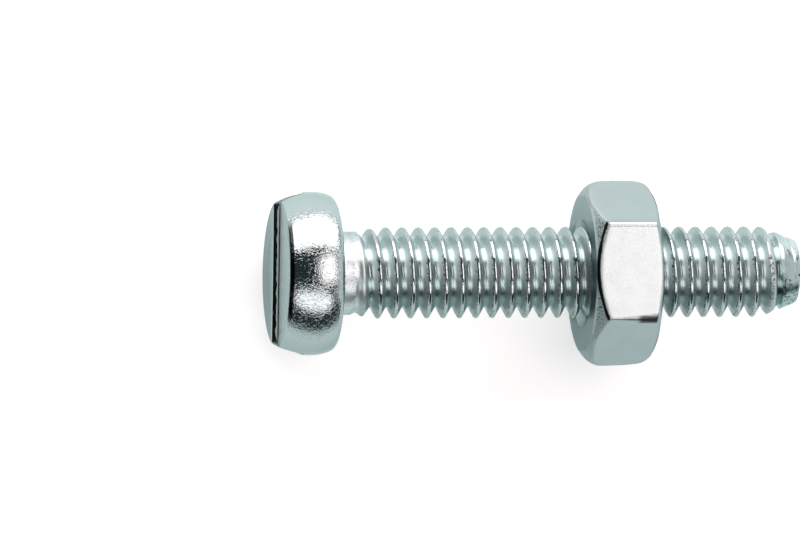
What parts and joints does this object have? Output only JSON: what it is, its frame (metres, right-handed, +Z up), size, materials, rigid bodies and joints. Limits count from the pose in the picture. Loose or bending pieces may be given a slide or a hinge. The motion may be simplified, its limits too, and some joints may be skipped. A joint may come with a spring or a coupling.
{
  "type": "slotted button head screw with hex nut",
  "caption": "Steel machine screw with a low rounded head, a straight driver slot, a plain neck, a right-hand thread and a chamfered tip, carrying a hexagon nut that runs along the thread.",
  "frame": {"origin": "centre of the head's bearing face, on the screw's axis", "axes": "+X along the screw from the head to the tip, +Z up as it lies on a flat of the nut and the rim of the head, +Y across"},
  "size_m": [0.0223, 0.008, 0.007],
  "materials": {
    "screw_plating": "bright zinc plating, polished by forming and rolling",
    "nut_plating": "bright zinc plating over fine-grained flats"
  },
  "bodies": {
    "screw": {"slotted_screw": "screw_plating"},
    "nut": {"hex_nut": "nut_plating"}
  },
  "joints": [
    {"name": "nut_travel", "type": "slide", "parent": "screw", "child": "nut", "axis": [1, 0, 0], "range_m": [-0.0084, 0.0077]}
  ]
}
